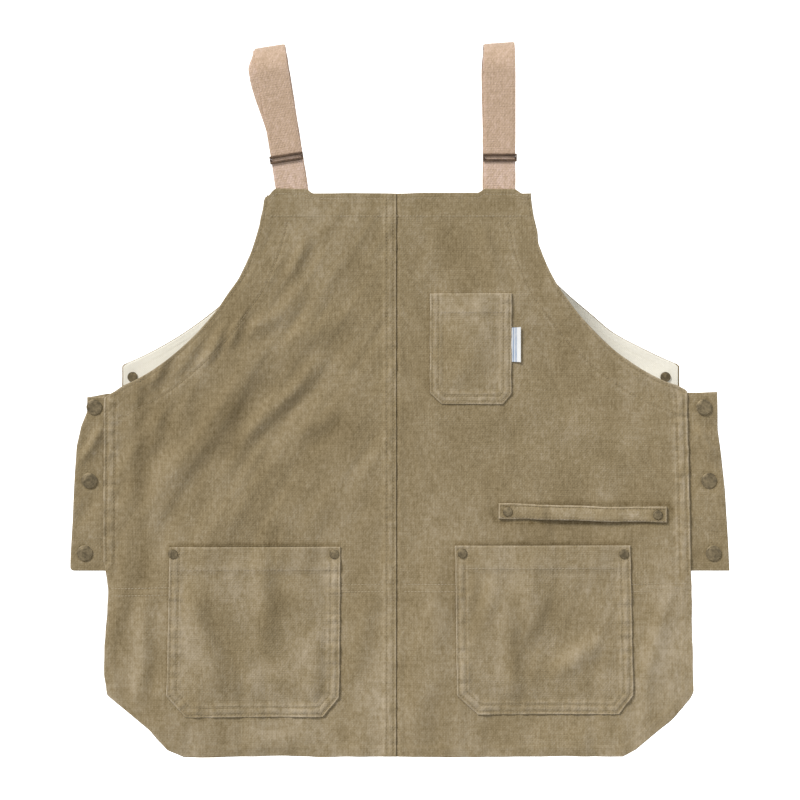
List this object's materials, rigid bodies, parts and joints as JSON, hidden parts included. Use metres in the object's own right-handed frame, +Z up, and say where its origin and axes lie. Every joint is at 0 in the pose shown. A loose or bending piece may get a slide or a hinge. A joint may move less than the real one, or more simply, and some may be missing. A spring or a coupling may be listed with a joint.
{
  "type": "work apron",
  "caption": "Canvas work apron hung by two webbing shoulder straps, with patch pockets, a tool loop, snap tabs folded open at the sides and a short lined back panel.",
  "frame": {"origin": "midway between the undersides of the two strap crowns, where shoulders or a hanger carry the apron", "axes": "+Z up; the front of the apron faces -Y; +X is the viewer's right when looking at the front"},
  "size_m": [0.657, 0.0729, 0.717],
  "materials": {
    "canvas": "heavy cotton canvas, washed",
    "lining": "light cotton twill",
    "webbing": "woven cotton webbing",
    "dark_bronze": "dark antique finish",
    "snap_brass": "antique brass, worn",
    "label": "woven tape"
  },
  "bodies": {
    "apron_front": {"front_panel_left": "canvas", "front_panel_right": "canvas", "bib_hem_facing": "canvas", "front_lining": "lining", "armhole_facing_left": "lining", "armhole_facing_right": "lining", "pocket_left": "canvas", "pocket_right": "canvas", "pocket_chest": "canvas", "pocket_label": "label", "pocket_rivets_left": "dark_bronze", "pocket_rivets_right": "dark_bronze", "rivet_washers": "dark_bronze", "tool_loop": "canvas", "tool_loop_rivets": "dark_bronze", "strap_left": "webbing", "strap_right": "webbing", "strap_return_left": "webbing", "strap_return_right": "webbing"},
    "slider_left": {"slider_left": "dark_bronze", "slider_webbing_left": "webbing"},
    "slider_right": {"slider_right": "dark_bronze", "slider_webbing_right": "webbing"},
    "tab_left": {"side_tab_left": "canvas", "snap_caps_left": "snap_brass", "snap_sockets_left": "snap_brass"},
    "tab_right": {"side_tab_right": "canvas", "snap_caps_right": "snap_brass", "snap_sockets_right": "snap_brass"},
    "ring_left": {"strap_ring_left": "dark_bronze"},
    "ring_right": {"strap_ring_right": "dark_bronze"},
    "back": {"back_panel_left": "canvas", "back_panel_right": "canvas", "back_hem_facing": "canvas", "back_lining": "lining", "ring_webbing_left": "webbing", "ring_webbing_right": "webbing", "snap_studs_left": "snap_brass", "snap_studs_right": "snap_brass", "snap_posts_left": "snap_brass", "snap_posts_right": "snap_brass"}
  },
  "joints": [
    {"name": "slider_left_slide", "type": "slide", "parent": "apron_front", "child": "slider_left", "axis": [-0.1564, 0, 0.9877], "range_m": [-0.022, 0.044]},
    {"name": "slider_right_slide", "type": "slide", "parent": "apron_front", "child": "slider_right", "axis": [0, 0, 1], "range_m": [-0.022, 0.044]},
    {"name": "tab_left_fold", "type": "hinge", "parent": "apron_front", "child": "tab_left", "pos_m": [-0.2895, -0.0296, -0.4375], "axis": [0, 0, -1], "range_deg": [0, 150]},
    {"name": "tab_right_fold", "type": "hinge", "parent": "apron_front", "child": "tab_right", "pos_m": [0.2895, -0.0296, -0.4375], "axis": [0, 0, 1], "range_deg": [0, 150]},
    {"name": "ring_left_swing", "type": "hinge", "parent": "apron_front", "child": "ring_left", "pos_m": [-0.10325, 0.0293, -0.172], "axis": [1, 0, 0], "range_deg": [0, 60]},
    {"name": "ring_right_swing", "type": "hinge", "parent": "apron_front", "child": "ring_right", "pos_m": [0.101, 0.0293, -0.172], "axis": [1, 0, 0], "range_deg": [0, 60]},
    {"name": "back_swing", "type": "hinge", "parent": "ring_left", "child": "back", "pos_m": [0, 0.0293, -0.184], "axis": [1, 0, 0], "range_deg": [0, 60]}
  ],
  "couplings": [
    {"joint": "ring_right_swing", "follows": "ring_left_swing", "ratio": 1}
  ]
}
